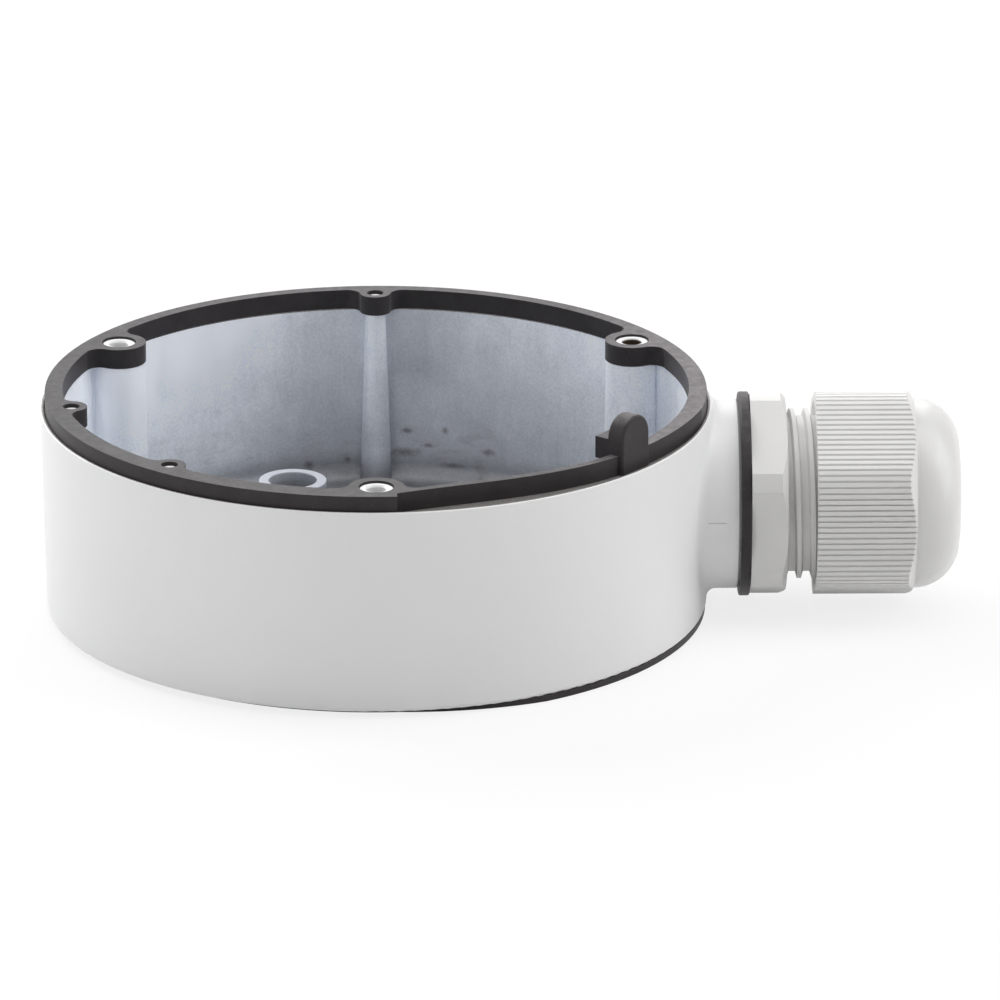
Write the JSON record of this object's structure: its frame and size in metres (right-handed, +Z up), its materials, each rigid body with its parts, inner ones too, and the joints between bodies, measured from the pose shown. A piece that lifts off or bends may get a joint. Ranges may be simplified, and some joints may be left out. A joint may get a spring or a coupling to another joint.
{
  "type": "camera junction box",
  "caption": "Round cast box that a dome camera screws onto, with a rubber rim gasket, a rear gasket and a side cable gland.",
  "frame": {"origin": "on the housing's axis, in the plane of the casting's underside, at the centre of the wall screw circle", "axes": "+Z up out of the open side that the camera closes, +X along the cable gland, +Y completes a right-handed frame"},
  "size_m": [0.1571, 0.1146, 0.0453],
  "materials": {
    "painted_casting": "white powder coat outside, bare casting inside",
    "black_rubber": "matte",
    "grey_nylon": "satin",
    "seal_rubber": "matte"
  },
  "bodies": {
    "box": {"housing": "painted_casting", "rim_gasket": "black_rubber", "rear_gasket": "black_rubber", "gland_washer": "black_rubber", "gland_body": "grey_nylon"},
    "insert": {"gland_claw": "grey_nylon", "gland_seal": "seal_rubber"},
    "nut": {"gland_nut": "grey_nylon"}
  },
  "joints": [
    {"name": "insert_slide", "type": "slide", "parent": "box", "child": "insert", "axis": [1, 0, 0], "range_m": [-0.0046, 0.0076]},
    {"name": "nut_turn", "type": "hinge", "parent": "insert", "child": "nut", "pos_m": [0.08, 0, 0.0186], "axis": [1, 0, 0], "range_deg": [-648, 1080]}
  ],
  "couplings": [
    {"joint": "insert_slide", "follows": "nut_turn", "m_per_rad": 0.00039789}
  ]
}
